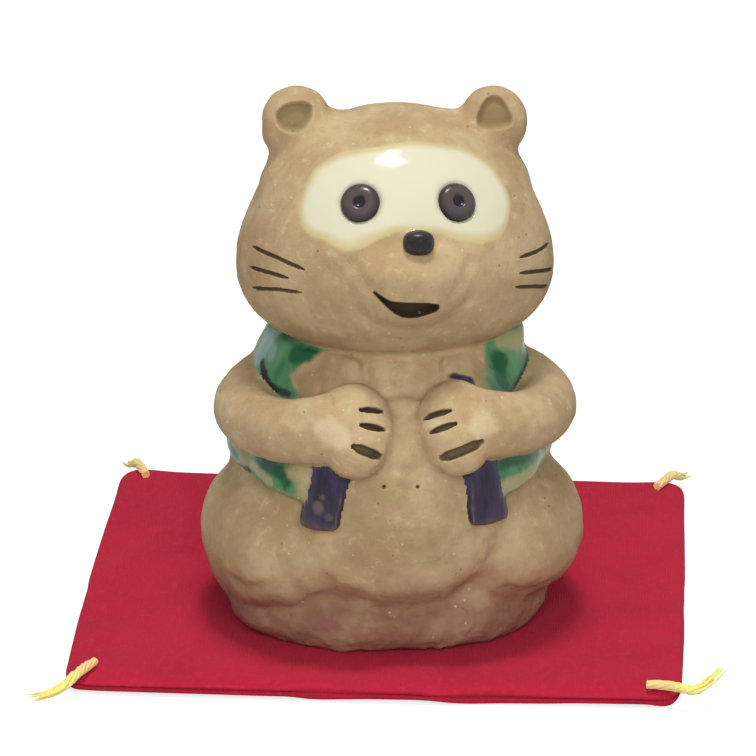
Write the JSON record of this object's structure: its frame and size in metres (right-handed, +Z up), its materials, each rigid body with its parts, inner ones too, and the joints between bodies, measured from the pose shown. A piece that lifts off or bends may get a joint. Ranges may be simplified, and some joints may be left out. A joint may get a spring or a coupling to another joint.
{
  "type": "tanuki statue",
  "caption": "Hollow stoneware raccoon-dog figure, seated cross-legged and drumming its belly in a glazed vest, that lifts off a thin red padded mat with yarn corner tufts.",
  "frame": {"origin": "on the mat's underside, below the figure's upright axis", "axes": "+Z up, the figure faces -Y, +X is the figure's own left"},
  "size_m": [0.1569, 0.1516, 0.1185],
  "materials": {
    "stoneware": "coarse matte bisque",
    "black_glaze": "gloss",
    "eye_glaze": "satin",
    "green_glaze": "gloss, runny",
    "violet_glaze": "gloss",
    "mat_cloth": "plain weave",
    "batting": "loose fibre",
    "tuft_yarn": "twisted yarn"
  },
  "bodies": {
    "mat": {"mat_top_cover": "mat_cloth", "mat_bottom_cover": "mat_cloth", "mat_batting": "batting", "front_right_tuft": "tuft_yarn", "front_left_tuft": "tuft_yarn", "back_left_tuft": "tuft_yarn", "back_right_tuft": "tuft_yarn"},
    "figure": {"body_front_shell": "stoneware", "body_back_shell": "stoneware", "left_leg": "stoneware", "right_leg": "stoneware", "tail": "stoneware", "head_front_shell": "stoneware", "head_back_shell": "stoneware", "left_ear": "stoneware", "right_ear": "stoneware", "left_arm": "stoneware", "right_arm": "stoneware", "nose": "black_glaze", "left_eye": "eye_glaze", "right_eye": "eye_glaze", "vest_back": "green_glaze", "left_vest_front": "green_glaze", "right_vest_front": "green_glaze", "left_collar_band": "violet_glaze", "right_collar_band": "violet_glaze"}
  },
  "joints": [
    {"name": "figure_lift", "type": "slide", "parent": "mat", "child": "figure", "axis": [0, 0, 1], "range_m": [0, 0.06]}
  ]
}
